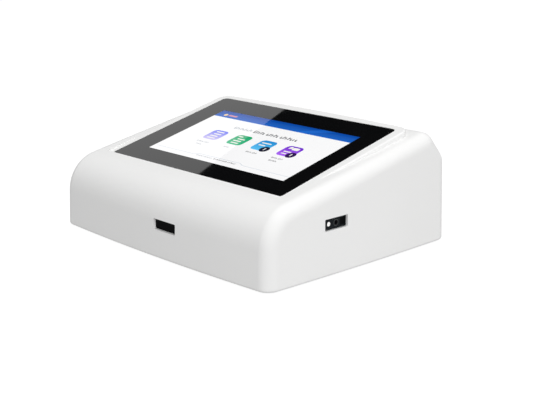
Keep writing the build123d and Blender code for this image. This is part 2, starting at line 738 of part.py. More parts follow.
def network_jack():
    """An eight-way network socket with its latch notch."""
    x = NET_X
    body = block(x - NET_W / 2, x + NET_W / 2, PANEL_Y - 15, PANEL_Y + 0.4, BOARD_TOP,
                 BOARD_TOP + NET_H)
    mouth = block(x - 5.9, x + 5.9, PANEL_Y - 12, PANEL_Y + 1, BOARD_TOP + 4.2, BOARD_TOP + 11.2)
    notch = block(x - 3.2, x + 3.2, PANEL_Y - 12, PANEL_Y + 1, BOARD_TOP + 2.2, BOARD_TOP + 4.3)
    key = block(x - 1.6, x + 1.6, PANEL_Y - 12, PANEL_Y + 1, BOARD_TOP + 1.0, BOARD_TOP + 2.3)
    return body - mouth - notch - key


def switch_body():
    """The power switch's case, with a bezel outside the panel and a pocket for the rocker."""
    z = SWITCH_Z
    case = block(ROCKER_X - SWITCH_W / 2, ROCKER_X + SWITCH_W / 2, PANEL_Y - 13, PANEL_Y + 0.1,
                 z - SWITCH_H / 2, z + SWITCH_H / 2)
    rim = block(ROCKER_X - SWITCH_W / 2 - 1.2, ROCKER_X + SWITCH_W / 2 + 1.2, PANEL_Y,
                PANEL_Y + 1.6, z - SWITCH_H / 2 - 1.2, z + SWITCH_H / 2 + 1.2)
    rim = fillet(rim.edges().filter_by(Axis.Y), 1.2)
    body = case + rim
    reach = ROCKER_R + ROCKER_GAP
    body -= block(ROCKER_X - reach, ROCKER_X + reach, PANEL_Y - 8, PANEL_Y + 3,
                  z - ROCKER_H / 2 - ROCKER_GAP, z + ROCKER_H / 2 + ROCKER_GAP)
    return body - rocker_bore(ROCKER_PIN_R + PIN_CLEAR, SWITCH_H / 2 - 0.2)


def rocker_bore(radius, reach):
    """The rocker's pivot line: upright, through the middle of the switch."""
    low = (ROCKER_X, ROCKER_AXIS_Y, SWITCH_Z - reach)
    high = (ROCKER_X, ROCKER_AXIS_Y, SWITCH_Z + reach)
    return rod(radius, low, high)


def power_rocker():
    """The tipping key: two flats that meet in a shallow vee, with round ends about its pivot."""
    profile = Polyline(
        (-ROCKER_R - 1, ROCKER_PROUD + ROCKER_VEE),
        (0, ROCKER_PROUD),
        (ROCKER_R + 1, ROCKER_PROUD + ROCKER_VEE),
        (ROCKER_R + 1, -1.2),
        (2.4, -4.6),
        (-2.4, -4.6),
        (-ROCKER_R - 1, -1.2),
        close=True,
    )
    face = make_face(profile) & Circle(ROCKER_R)
    key = extrude(face, ROCKER_H / 2, both=True)
    key = fillet(key.faces().sort_by(Axis.Y)[-2:].edges().filter_by(Axis.Z).sort_by(Axis.X)[1], 2.0)
    key += rod(ROCKER_PIN_R, (0, 0, 0.6 - SWITCH_H / 2), (0, 0, SWITCH_H / 2 - 0.6))
    return Pos(ROCKER_X, ROCKER_AXIS_Y, SWITCH_Z) * Rot(0, 0, -ROCKER_TILT) * key


# ---------------------------------------------------------------- code reader
def scan_face_x():
    """The reader's face: a set depth inside the side wall's outer surface."""
    lean = (SCAN_Z - BOTTOM) * math.tan(math.radians(DRAFT))
    bow = SIDE_BOW * (SCAN_Y / (DEPTH / 2)) ** 2
    return WIDTH / 2 - bow - lean - SCAN_RECESS


def scan_body():
    """The sealed reader module, with wells for its lamp, lens and aiming window."""
    x = scan_face_x()
    body = block(x - SCAN_DEPTH, x, SCAN_Y - SCAN_W / 2, SCAN_Y + SCAN_W / 2, SCAN_Z - SCAN_H / 2,
                 SCAN_Z + SCAN_H / 2)
    body = fillet(body.edges().filter_by(Axis.X), 0.6)
    body -= rod(LED_R, (x - 1.5, LAMP_Y, SCAN_Z), (x + 1, LAMP_Y, SCAN_Z))
    body -= rod(EYE_R, (x - 4, EYE_Y, SCAN_Z), (x + 1, EYE_Y, SCAN_Z))
    body -= block(x - 1.0, x + 1, SIGHT_Y - SIGHT_W / 2, SIGHT_Y + SIGHT_W / 2,
                  SCAN_Z - SIGHT_H / 2, SCAN_Z + SIGHT_H / 2)
    return body


def scan_lamp():
    x = scan_face_x()
    lamp = rod(LED_R - 0.05, (x - 1.5, LAMP_Y, SCAN_Z), (x - 0.1, LAMP_Y, SCAN_Z))
    return fillet(rim(lamp, (x, LAMP_Y, SCAN_Z)), 0.5)


def turned(outline, origin, way):
    """A turned piece: a half outline of radius and height, spun about its height axis."""
    spun = revolve(Plane.XZ * make_face(Wire(outline)), Axis.Z, 360)
    return Plane(origin=origin, z_dir=way).location * spun


def dome(radius, base, rise):
    """The half outline of a spherical cap: from its rim up to the axis."""
    ball = (radius**2 + rise**2) / (2 * rise)
    half_angle = math.asin(radius / ball) / 2
    middle = (ball * math.sin(half_angle), base + rise - ball + ball * math.cos(half_angle))
    return ThreePointArc((radius, base), middle, (0, base + rise))


def scan_lens():
    """A small lens in a ring, sunk in the middle well."""
    r = EYE_R - 0.05
    bore = r - 0.5
    outline = [
        Line((0, 0), (r, 0)),
        Line((r, 0), (r, 3.8)),
        Line((r, 3.8), (bore, 3.8)),
        Line((bore, 3.8), (bore, 2.2)),
        dome(bore, 2.2, 0.7),
        Line((0, 2.9), (0, 0)),
    ]
    return turned(outline, (scan_face_x() - 4, EYE_Y, SCAN_Z), (1, 0, 0))


def scan_window():
    x = scan_face_x()
    return block(x - 1.0, x - 0.15, SIGHT_Y - SIGHT_W / 2 + 0.05, SIGHT_Y + SIGHT_W / 2 - 0.05,
                 SCAN_Z - SIGHT_H / 2 + 0.05, SCAN_Z + SIGHT_H / 2 - 0.05)


def scan_bracket():
    """A sheet clip that holds the reader from behind, screwed to two bosses on the side wall."""
    x = SCAN_BACK_X
    reach = SCAN_SCREW_REACH + 4
    plate = block(x - SHEET_T, x, SCAN_Y - reach, SCAN_Y + reach, SCAN_Z - 5.5, SCAN_Z + 5.5)
    plate -= block(x - 2 * SHEET_T, x + 1, SCAN_Y - 6, SCAN_Y + 6, SCAN_Z - 2.5, SCAN_Z + 2.5)
    for side in (-1, 1):
        tab_y = SCAN_Y + side * (SCAN_W / 2 + CLEAR + SHEET_T / 2)
        plate += Pos(x + 2.5, tab_y, SCAN_Z) * Box(5.0, SHEET_T, 7.0)
    for y in SCAN_SCREW_YS:
        plate -= rod(M2_R + 0.2, (x - 3, y, SCAN_Z), (x + 1, y, SCAN_Z))
    return plate


def scan_screws():
    return group([
        small_screw((SCAN_BACK_X - SHEET_T, y, SCAN_Z), (1, 0, 0), 5.0) for y in SCAN_SCREW_YS
    ])


# ---------------------------------------------------------------- strip tray and its drive
def strip_tray():
    """The sliding bar: a trough for the strip on top and a slot for the rack beneath."""
    front = TRAY_FACE_Y + TRAY_FACE_T
    rear = TRAY_FACE_Y + TRAY_L
    bar = block(TRAY_X - TRAY_W / 2, TRAY_X + TRAY_W / 2, front, rear, TRAY_BOTTOM, TRAY_TOP)
    bar = fillet(bar.edges().filter_by(Axis.Y), TRAY_CORNER_R)
    bar -= block(TRAY_X - STRIP_W / 2, TRAY_X + STRIP_W / 2, front + 6, rear - 8,
                 TRAY_TOP - STRIP_DEPTH, TRAY_TOP + 1)
    well = Pos(TRAY_X, front + 14, TRAY_TOP) * Cylinder(STRIP_W / 2 + 2.5, 2 * STRIP_DEPTH)
    bar -= well
    bar -= block(TRAY_X - RACK_W / 2, TRAY_X + RACK_W / 2, RACK_FRONT, rear + 1,
                 TRAY_BOTTOM - 1, RACK_TOP)
    return bar + block(TRAY_X - FLAG_W / 2, TRAY_X + FLAG_W / 2, rear - 1, rear + FLAG_L,
                       FLAG_Z - FLAG_H / 2, FLAG_Z + FLAG_H / 2)


def tray_face():
    """The black front of the tray, seen in the port."""
    plate = block(TRAY_X - TRAY_W / 2, TRAY_X + TRAY_W / 2, TRAY_FACE_Y, TRAY_FACE_Y + TRAY_FACE_T,
                  TRAY_BOTTOM, TRAY_TOP)
    plate = fillet(plate.edges().filter_by(Axis.Y), TRAY_CORNER_R)
    return fillet(plate.faces().sort_by(Axis.Y)[0].edges(), 0.4)


def tray_rack():
    """A straight rack let into the tray, teeth down."""
    pitch = math.pi * MODULE
    lean = math.tan(math.radians(PRESSURE))
    rear = TRAY_FACE_Y + TRAY_L - 0.5
    rack = block(TRAY_X - RACK_W / 2 + 0.02, TRAY_X + RACK_W / 2 - 0.02, RACK_FRONT + 0.02, rear,
                 RACK_PITCH_Z + 1.25 * MODULE, RACK_TOP)
    half_pitch = pitch / 4 - BACKLASH / 4
    tip = half_pitch - MODULE * lean
    root = half_pitch + 1.25 * MODULE * lean
    tooth = Polyline(
        (-root, 1.25 * MODULE),
        (-tip, -MODULE),
        (tip, -MODULE),
        (root, 1.25 * MODULE),
        close=True,
    )
    first = math.ceil((RACK_FRONT + root + 0.1 - PINION_Y) / pitch - 0.5)
    last = math.floor((rear - root - 0.1 - PINION_Y) / pitch - 0.5)
    for index in range(first, last + 1):
        y = PINION_Y + (index + 0.5) * pitch
        face = Plane(origin=(TRAY_X, y, RACK_PITCH_Z), x_dir=(0, 1, 0), z_dir=(1, 0, 0))
        rack += extrude(face * make_face(tooth), (RACK_W / 2 - 0.02), both=True)
    return rack


def involute(base_radius, angle):
    """A point on the involute of a base circle."""
    return (
        base_radius * (math.cos(angle) + angle * math.sin(angle)),
        base_radius * (math.sin(angle) - angle * math.cos(angle)),
    )


def gear_tooth(reach_in):
    """One involute tooth that points along +X, down to a circle inside the root."""
    base_r = PITCH_R * math.cos(math.radians(PRESSURE))
    tip_r = PITCH_R + MODULE
    tip_angle = math.sqrt((tip_r / base_r) ** 2 - 1)
    at_pitch = math.tan(math.radians(PRESSURE)) - math.radians(PRESSURE)
    half = (math.pi * MODULE / 2 - BACKLASH / 2) / (2 * PITCH_R) + at_pitch
    flank = []
    for step in range(5):
        x, y = involute(base_r, tip_angle * step / 4)
        c, s = math.cos(-half), math.sin(-half)
        flank.append((x * c - y * s, x * s + y * c))
    mirrored = [(x, -y) for x, y in reversed(flank)]
    foot = (reach_in, flank[0][1] * reach_in / flank[0][0])
    return make_face(Wire([
        Line(foot, flank[0]),
        Spline(*flank),
        Line(flank[-1], mirrored[0]),
        Spline(*mirrored),
        Line(mirrored[-1], (foot[0], -foot[1])),
        Line((foot[0], -foot[1]), foot),
    ]))


def drive_pinion():
    """The motor's gear, with a hub for its shaft."""
    root_r = PITCH_R - 1.25 * MODULE
    face = Circle(root_r)
    for index in range(PINION_TEETH):
        turn = 90 + index * 360 / PINION_TEETH
        face += Rot(0, 0, turn) * gear_tooth(root_r - 0.4)
    plane = Plane(origin=(TRAY_X - PINION_W / 2, PINION_Y, PINION_Z), x_dir=(0, 1, 0), z_dir=(1, 0, 0))
    gear = extrude(plane * face, PINION_W)
    x1 = TRAY_X + PINION_W / 2
    gear += rod(HUB_R, (x1 - 0.1, PINION_Y, PINION_Z), (x1 + 4, PINION_Y, PINION_Z))
    return gear - rod(SHAFT_R, (TRAY_X - 5, PINION_Y, PINION_Z), (x1 + 6, PINION_Y, PINION_Z))


def motor_shaft():
    return rod(SHAFT_R - 0.01, (TRAY_X - PINION_W / 2, PINION_Y, PINION_Z),
               (MOTOR_X + MOTOR_L - 3, PINION_Y, PINION_Z))


def stepper_motor():
    """A small round stepper: can, front boss, two fixing ears and a shaft bearing."""
    axis = (PINION_Y, PINION_Z)
    can = rod(MOTOR_R, (MOTOR_X, *axis), (MOTOR_X + MOTOR_L, *axis))
    can = fillet(rim(can, (MOTOR_X + MOTOR_L, *axis)), 0.8)
    can += rod(3.0, (MOTOR_X - 1.6, *axis), (MOTOR_X + 0.1, *axis))
    ears = block(MOTOR_X, MOTOR_X + 1.0, PINION_Y - 15, PINION_Y + 15, PINION_Z - 3.5, PINION_Z + 3.5)
    ears = fillet(ears.edges().filter_by(Axis.X), 3.0)
    can += ears
    can -= rod(SHAFT_R + PIN_CLEAR, (MOTOR_X - 3, *axis), (MOTOR_X + MOTOR_L - 2.5, *axis))
    for y in (PINION_Y - 12.5, PINION_Y + 12.5):
        can -= rod(M2_R + 0.1, (MOTOR_X - 1, y, PINION_Z), (MOTOR_X + 2, y, PINION_Z))
    return can


def motor_bracket():
    """A bent plate that stands on the base and carries the motor."""
    x0 = MOTOR_X - SHEET_T
    plate = block(x0, MOTOR_X, PINION_Y - 16, PINION_Y + 16, BASE_TOP, PINION_Z + 6)
    plate += block(x0, MOTOR_X + 22, PINION_Y - 16, PINION_Y + 16, BASE_TOP, BASE_TOP + SHEET_T)
    plate -= rod(3.05, (x0 - 1, PINION_Y, PINION_Z), (MOTOR_X + 1, PINION_Y, PINION_Z))
    for y in (PINION_Y - 12.5, PINION_Y + 12.5):
        plate -= rod(M2_R + 0.1, (x0 - 1, y, PINION_Z), (MOTOR_X + 1, y, PINION_Z))
    for x, y in motor_screw_places():
        plate -= rod(M2_R + 0.2, (x, y, BASE_TOP - 1), (x, y, BASE_TOP + 3))
    return plate


def motor_screw_places():
    return [(MOTOR_X + 16, PINION_Y - 12.5), (MOTOR_X + 16, PINION_Y + 12.5)]


def motor_screws():
    """Two screws through the motor's ears and two through the bracket's foot."""
    out = [
        small_screw((MOTOR_X + 1.0, y, PINION_Z), (-1, 0, 0), 2.6)
        for y in (PINION_Y - 12.5, PINION_Y + 12.5)
    ]
    for x, y in motor_screw_places():
        out.append(small_screw((x, y, BASE_TOP + SHEET_T), (0, 0, -1), 3.0))
    return group(out)


def guide_screw_places():
    y_front = PINION_Y + 27
    y_rear = GUIDE_REAR - 6
    reach = GUIDE_HALF + 4
    return [(TRAY_X + side * reach, y) for side in (-1, 1) for y in (y_front, y_rear)]


def tray_guide():
    """The fixed channel that the tray slides in, standing on four legs."""
    low = GUIDE_LOW
    high = GUIDE_HIGH
    shape = block(TRAY_X - GUIDE_HALF, TRAY_X + GUIDE_HALF, GUIDE_FRONT, GUIDE_REAR, low, high)
    for x, y in guide_screw_places():
        side = math.copysign(1, x - TRAY_X)
        wall_x = TRAY_X + side * GUIDE_HALF
        leg_in = min(wall_x, wall_x - side * LEG_T)
        leg_out = max(wall_x, wall_x - side * LEG_T)
        shape += block(leg_in, leg_out, y - 5, y + 5, BASE_TOP, low + 1)
        toe = sorted((wall_x, wall_x + side * 8))
        shape += block(toe[0], toe[1], y - 5, y + 5, BASE_TOP, BASE_TOP + LEG_T)
        shape -= rod(M2_R + 0.2, (x, y, BASE_TOP - 1), (x, y, BASE_TOP + LEG_T + 1))
    shape -= front_hole(TRAY_GAP, GUIDE_FRONT - 1, GUIDE_REAR - GUIDE_WALL)
    shape -= block(TRAY_X - FORK_W / 2, TRAY_X + FORK_W / 2, GUIDE_REAR - GUIDE_WALL - 1,
                   GUIDE_REAR + 1, FLAG_Z - FLAG_H / 2 - 0.5, FLAG_Z + FLAG_H / 2 + 0.5)
    shape -= block(TRAY_X - PINION_W / 2 - 1.5, TRAY_X + PINION_W / 2 + 1.5, PINION_Y - 10,
                   PINION_Y + 10, low - 1, TRAY_BOTTOM)
    shape -= block(TRAY_X - HEAD_MOUTH_W / 2, TRAY_X + HEAD_MOUTH_W / 2, HEAD_Y - HEAD_MOUTH_L / 2,
                   HEAD_Y + HEAD_MOUTH_L / 2, TRAY_TOP, high + 1)
    for x, y in head_screw_places():
        shape -= rod(M2_HOLE_R - 0.15, (x, y, high - 1.8), (x, y, high + 1))
    return shape


def guide_screws():
    return group([
        small_screw((x, y, BASE_TOP + LEG_T), (0, 0, -1), 4.4) for x, y in guide_screw_places()
    ])


def head_screw_places():
    return [(TRAY_X + side * (HEAD_W / 2 - 2.5), HEAD_Y + end * (HEAD_L / 2 + 3))
            for side in (-1, 1) for end in (-1, 1)]


def reader_head():
    """The optical head that looks down on the strip through the guide's roof."""
    z = GUIDE_HIGH
    body = block(TRAY_X - HEAD_W / 2, TRAY_X + HEAD_W / 2, HEAD_Y - HEAD_L / 2, HEAD_Y + HEAD_L / 2,
                 z, z + HEAD_H)
    body = fillet(body.edges().filter_by(Axis.Z), 1.5)
    foot = block(TRAY_X - HEAD_W / 2, TRAY_X + HEAD_W / 2, HEAD_Y - HEAD_L / 2 - 6,
                 HEAD_Y + HEAD_L / 2 + 6, z, z + 1.6)
    body += foot
    body -= rod(4.0, (TRAY_X, HEAD_Y, z - 1), (TRAY_X, HEAD_Y, z + 6))
    for x, y in head_screw_places():
        body -= rod(M2_R + 0.15, (x, y, z - 1), (x, y, z + 3))
    return body


def head_lens():
    outline = [
        Line((0, 0), (3.95, 0)),
        Line((3.95, 0), (3.95, 4.0)),
        Line((3.95, 4.0), (3.2, 4.0)),
        dome(3.2, 4.0, 1.1),
        Line((0, 5.1), (0, 0)),
    ]
    return turned(outline, (TRAY_X, HEAD_Y, GUIDE_HIGH + 6), (0, 0, -1))


def head_screws():
    z = GUIDE_HIGH
    return group([small_screw((x, y, z + 1.6), (0, 0, -1), 1.6) for x, y in head_screw_places()])


def home_sensor():
    """A forked light gate behind the guide that sees the tray come home."""
    y = GUIDE_REAR
    base = block(TRAY_X - 6, TRAY_X + 6, y, y + 5.5, TRAY_Z - 5, TRAY_Z + 5)
    return base - block(TRAY_X - FORK_W / 2, TRAY_X + FORK_W / 2, y - 1, y + 4,
                        FLAG_Z - FLAG_H / 2 - 0.5, FLAG_Z + 6)


# ---------------------------------------------------------------- speaker
def speaker_frame():
    """A round frame that stands on the base over its grille."""
    ring = tube(SPEAKER_R, SPEAKER_R - 2, (SPEAKER_X, SPEAKER_Y, BASE_TOP),
                (SPEAKER_X, SPEAKER_Y, BASE_TOP + 4))
    top = rod(SPEAKER_R - 3, (SPEAKER_X, SPEAKER_Y, BASE_TOP + 3), (SPEAKER_X, SPEAKER_Y, BASE_TOP + 6))
    rim = tube(SPEAKER_R - 1, SPEAKER_R - 5, (SPEAKER_X, SPEAKER_Y, BASE_TOP + 3),
               (SPEAKER_X, SPEAKER_Y, BASE_TOP + 4))
    return ring + rim + top


def speaker_cone():
    """The shallow paper cone under the magnet plate."""
    low = BASE_TOP + 0.8
    wide = Plane(origin=(SPEAKER_X, SPEAKER_Y, low)) * Circle(SPEAKER_R - 2.2)
    narrow = Plane(origin=(SPEAKER_X, SPEAKER_Y, BASE_TOP + 2.9)) * Circle(4.0)
    return loft([wide, narrow])


def speaker_magnet():
    low = BASE_TOP + 6
    magnet = rod(8.0, (SPEAKER_X, SPEAKER_Y, low), (SPEAKER_X, SPEAKER_Y, low + 5))
    return chamfer(rim(magnet, (SPEAKER_X, SPEAKER_Y, low + 5)), 0.6)


# ---------------------------------------------------------------- write every piece
def build():
    outer = soft_foot(wedge(0.0))
    cavity = wedge(WALL)
    pieces = {
        "top_housing": top_housing(outer, cavity),
        "cover_glass": cover_glass(),
        "glass_tape": glass_tape(),
        "lcd_film": lcd_film(),
        "lcd_cell": lcd_cell(),
        "lcd_backlight": lcd_backlight(),
        "lcd_bracket": lcd_bracket(),
        "lcd_screws": lcd_screws(),
        "display_ribbon": display_ribbon(),
        "base_plate": base_plate(),
        "rubber_feet": rubber_feet(),
        "base_screws": base_screws(),
        "threaded_inserts": threaded_inserts(),
        "main_board": main_board(),
        "board_standoffs": board_standoffs(),
        "board_screws": board_screws(),
        "processor": processor(),
        "memory_chips": memory_chips(),
        "capacitors": capacitors(),
        "board_connectors": board_connectors(),
        "heat_sink": heat_sink(),
        "rear_panel": rear_panel(),
        "panel_screws": panel_screws(),
        "power_jack": power_jack(),
        "usb_ports": usb_ports(),
        "network_jack": network_jack(),
        "switch_body": switch_body(),
        "power_rocker": power_rocker(),
        "scan_body": scan_body(),
        "scan_lamp": scan_lamp(),
        "scan_lens": scan_lens(),
        "scan_window": scan_window(),
        "scan_bracket": scan_bracket(),
        "scan_screws": scan_screws(),
        "strip_tray": strip_tray(),
        "tray_face": tray_face(),
        "tray_rack": tray_rack(),
        "drive_pinion": drive_pinion(),
        "motor_shaft": motor_shaft(),
        "stepper_motor": stepper_motor(),
        "motor_bracket": motor_bracket(),
        "motor_screws": motor_screws(),
        "tray_guide": tray_guide(),
        "guide_screws": guide_screws(),
        "reader_head": reader_head(),
        "head_lens": head_lens(),
        "head_screws": head_screws(),
        "home_sensor": home_sensor(),
        "speaker_frame": speaker_frame(),
        "speaker_cone": speaker_cone(),
        "speaker_magnet": speaker_magnet(),
    }
    os.makedirs("parts", exist_ok=True)
    for name, shape in pieces.items():
        export_step(shape, f"parts/{name}.step")


build()
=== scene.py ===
"""Countertop self-service terminal: looks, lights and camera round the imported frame."""
import math

import bmesh
import bpy
from mathutils import Matrix, Vector


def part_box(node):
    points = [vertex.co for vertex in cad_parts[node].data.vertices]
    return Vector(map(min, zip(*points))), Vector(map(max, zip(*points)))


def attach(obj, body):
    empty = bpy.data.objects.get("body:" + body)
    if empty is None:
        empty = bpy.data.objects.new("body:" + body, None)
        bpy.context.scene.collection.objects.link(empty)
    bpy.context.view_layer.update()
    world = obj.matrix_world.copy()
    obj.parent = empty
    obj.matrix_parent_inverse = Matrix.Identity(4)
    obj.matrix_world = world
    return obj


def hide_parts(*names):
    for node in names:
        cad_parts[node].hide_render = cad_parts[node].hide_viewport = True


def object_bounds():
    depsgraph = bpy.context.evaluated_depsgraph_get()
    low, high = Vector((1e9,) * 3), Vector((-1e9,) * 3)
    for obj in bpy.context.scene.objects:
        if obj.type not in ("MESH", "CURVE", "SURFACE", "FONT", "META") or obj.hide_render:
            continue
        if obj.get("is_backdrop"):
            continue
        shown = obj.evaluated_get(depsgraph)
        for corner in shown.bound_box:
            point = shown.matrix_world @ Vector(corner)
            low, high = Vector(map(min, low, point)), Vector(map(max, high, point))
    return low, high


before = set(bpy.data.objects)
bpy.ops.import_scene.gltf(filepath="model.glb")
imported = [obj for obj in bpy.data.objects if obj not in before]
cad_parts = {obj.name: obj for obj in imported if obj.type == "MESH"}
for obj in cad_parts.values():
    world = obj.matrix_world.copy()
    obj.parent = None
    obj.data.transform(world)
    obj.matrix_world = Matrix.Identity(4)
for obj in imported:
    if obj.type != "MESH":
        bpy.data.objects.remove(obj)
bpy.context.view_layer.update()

MM = 0.001
CARD_OFF = 1.1                      # how far off the reflected studio cards stand
CARD_GLOW = 0.74
TILT = math.radians(14.04)          # the screen leans back by this much

# ---------------------------------------------------------------- places taken from the frame
def middle(node):
    low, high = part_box(node)
    return (Vector(low) + Vector(high)) / 2


SCREEN_RIGHT = Vector((1, 0, 0))
SCREEN_UP = Vector((0, math.cos(TILT), math.sin(TILT)))
SCREEN_OUT = Vector((0, -math.sin(TILT), math.cos(TILT)))
GLASS_T = 1.8 * MM
GLASS_MIDDLE = middle("cover_glass") + SCREEN_OUT * GLASS_T / 2
FILM_MIDDLE = middle("lcd_film") + SCREEN_OUT * 0.1 * MM
VIEW_W = 154.2 * MM
VIEW_D = 83.0 * MM
VIEW_X = (FILM_MIDDLE - GLASS_MIDDLE).dot(SCREEN_RIGHT)
VIEW_S = (FILM_MIDDLE - GLASS_MIDDLE).dot(SCREEN_UP)


def on_glass(x_mm, s_mm, lift_mm=0.0):
    """A point of the glass's top face, given across and up from its middle."""
    return GLASS_MIDDLE + SCREEN_RIGHT * x_mm * MM + SCREEN_UP * s_mm * MM + SCREEN_OUT * lift_mm * MM


# ---------------------------------------------------------------- materials
def srgb(r, g, b):
    """A colour from 0-255 screen values, as linear light."""
    def one(v):
        v = v / 255
        return v / 12.92 if v <= 0.04045 else ((v + 0.055) / 1.055) ** 2.4
    return (one(r), one(g), one(b), 1.0)


class Look:
    """A Principled material and the few nodes that most looks share."""

    def __init__(self, name, **sockets):
        self.mat = bpy.data.materials.new(name)
        self.mat.use_nodes = True
        self.tree = self.mat.node_tree
        self.shader = self.tree.nodes["Principled BSDF"]
        self.out = self.tree.nodes["Material Output"]
        self.coords = self.node("ShaderNodeTexCoord").outputs["Object"]
        self.height = None
        for key, value in sockets.items():
            self.shader.inputs[key.replace("_", " ")].default_value = value

    def node(self, kind, **props):
        made = self.tree.nodes.new(kind)
        for key, value in props.items():
            setattr(made, key, value)
        return made

    def link(self, a, b):
        self.tree.links.new(a, b)

    def maths(self, op, a, b=None, clamp=False):
        made = self.node("ShaderNodeMath", operation=op, use_clamp=clamp)
        for socket, value in zip(made.inputs, (a, b)):
            if value is None:
                continue
            if isinstance(value, (int, float)):
                socket.default_value = value
            else:
                self.link(value, socket)
        return made.outputs[0]

    def noise(self, per_metre, detail=3.0, rough=0.5, stretch=(1, 1, 1)):
        place = self.node("ShaderNodeMapping")
        self.link(self.coords, place.inputs["Vector"])
        place.inputs["Scale"].default_value = stretch
        made = self.node("ShaderNodeTexNoise")
        made.inputs["Scale"].default_value = per_metre
        made.inputs["Detail"].default_value = detail
        made.inputs["Roughness"].default_value = rough
        self.link(place.outputs[0], made.inputs["Vector"])
        return made.outputs["Fac"]

    def spread(self, value, low, high, start=0.3, end=0.7):
        made = self.node("ShaderNodeMapRange")
        self.link(value, made.inputs["Value"])
        for key, number in (("From Min", start), ("From Max", end), ("To Min", low), ("To Max", high)):
            made.inputs[key].default_value = number
        return made.outputs[0]

    def two_tone(self, fac, a, b):
        made = self.node("ShaderNodeMix", data_type="RGBA")
        self.link(fac, made.inputs["Factor"])
        made.inputs["A"].default_value = a
        made.inputs["B"].default_value = b
        return made.outputs["Result"]

    def colour(self, fac, a, b):
        self.link(self.two_tone(fac, a, b), self.shader.inputs["Base Color"])

    def roughness(self, fac, low, high):
        self.link(self.spread(fac, low, high), self.shader.inputs["Roughness"])

    def bump(self, value, strength, depth_mm):
        made = self.node("ShaderNodeBump")
        made.inputs["Strength"].default_value = strength
        made.inputs["Distance"].default_value = depth_mm * MM
        self.link(value, made.inputs["Height"])
        if self.height is not None:
            self.link(self.height, made.inputs["Normal"])
        self.height = made.outputs[0]
        self.link(self.height, self.shader.inputs["Normal"])


def shade(colour, k):
    return (colour[0] * k, colour[1] * k, colour[2] * k, 1.0)


def plastic(name, colour, rough=0.45, grain=2600.0, depth=0.02, vary=0.06, **sockets):
    """Moulded plastic: slow tint drift, fine spark-eroded grain and uneven gloss."""
    look = Look(name, **sockets)
    look.colour(look.noise(22, 2), shade(colour, 1 - vary), shade(colour, 1 + vary))
    look.roughness(look.noise(90, 4), rough - 0.05, rough + 0.05)
    look.bump(look.noise(grain, 2), 0.35, depth)
    return look.mat


def metal(name, colour, rough=0.3, stretch=(1, 1, 1), **sockets):
    """Bare or plated metal with rolling lines along one way."""
    look = Look(name, Metallic=1.0, **sockets)
    look.colour(look.noise(60, 3), shade(colour, 0.9), shade(colour, 1.06))
    look.roughness(look.noise(700, 3, 0.6, stretch), rough - 0.08, rough + 0.1)
    look.bump(look.noise(1500, 2, 0.5, stretch), 0.2, 0.01)
    return look.mat


def housing_look():
    """White moulded shell: fine satin texture and very slight tint drift."""
    look = Look("white_shell", IOR=1.46)
    look.colour(look.noise(14, 2), (0.83, 0.83, 0.825, 1), (0.86, 0.86, 0.857, 1))
    look.roughness(look.noise(70, 4), 0.33, 0.42)
    look.bump(look.noise(3200, 2), 0.25, 0.012)
    look.bump(look.noise(160, 3), 0.05, 0.05)
    return look.mat


def window_mask(look):
    """1 over the lit area of the screen and 0 round it."""
    def along(direction, centre, half):
        axis = look.node("ShaderNodeVectorMath", operation="DOT_PRODUCT")
        look.link(look.coords, axis.inputs[0])
        axis.inputs[1].default_value = direction
        off = look.maths("SUBTRACT", axis.outputs["Value"], centre.dot(direction))
        return look.maths("LESS_THAN", look.maths("ABSOLUTE", off), half)
    across = along(SCREEN_RIGHT, FILM_MIDDLE, VIEW_W / 2)
    up = along(SCREEN_UP, FILM_MIDDLE, VIEW_D / 2)
    return look.maths("MULTIPLY", across, up)


def glass_look():
    """Cover glass: black print behind a polished face, clear over the lit area."""
    look = Look("cover_glass", IOR=1.5)
    look.colour(look.noise(30, 2), (0.0032, 0.0033, 0.0036, 1), (0.0042, 0.0043, 0.0048, 1))
    look.link(look.spread(look.noise(55, 5, 0.6), 0.012, 0.03), look.shader.inputs["Roughness"])
    clear = look.node("ShaderNodeBsdfTransparent")
    gloss = look.node("ShaderNodeBsdfGlossy")
    gloss.inputs["Roughness"].default_value = 0.02
    fresnel = look.node("ShaderNodeFresnel")
    fresnel.inputs["IOR"].default_value = 1.5
    front = look.maths("SUBTRACT", 1.0, look.node("ShaderNodeNewGeometry").outputs["Backfacing"])
    pane = look.node("ShaderNodeMixShader")
    look.link(look.maths("MULTIPLY", fresnel.outputs[0], front), pane.inputs[0])
    look.link(clear.outputs[0], pane.inputs[1])
    look.link(gloss.outputs[0], pane.inputs[2])
    both = look.node("ShaderNodeMixShader")
    behind = look.node("ShaderNodeNewGeometry").outputs["Backfacing"]
    look.link(look.maths("MAXIMUM", window_mask(look), behind), both.inputs[0])
    look.link(look.shader.outputs[0], both.inputs[1])
    look.link(pane.outputs[0], both.inputs[2])
    look.link(both.outputs[0], look.out.inputs["Surface"])
    return look.mat


def cad_look(node, material):
    """Puts a material on every slot of a CAD node."""
    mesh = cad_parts[node].data
    if not mesh.materials:
        mesh.materials.append(material)
    for index in range(len(mesh.materials)):
        mesh.materials[index] = material


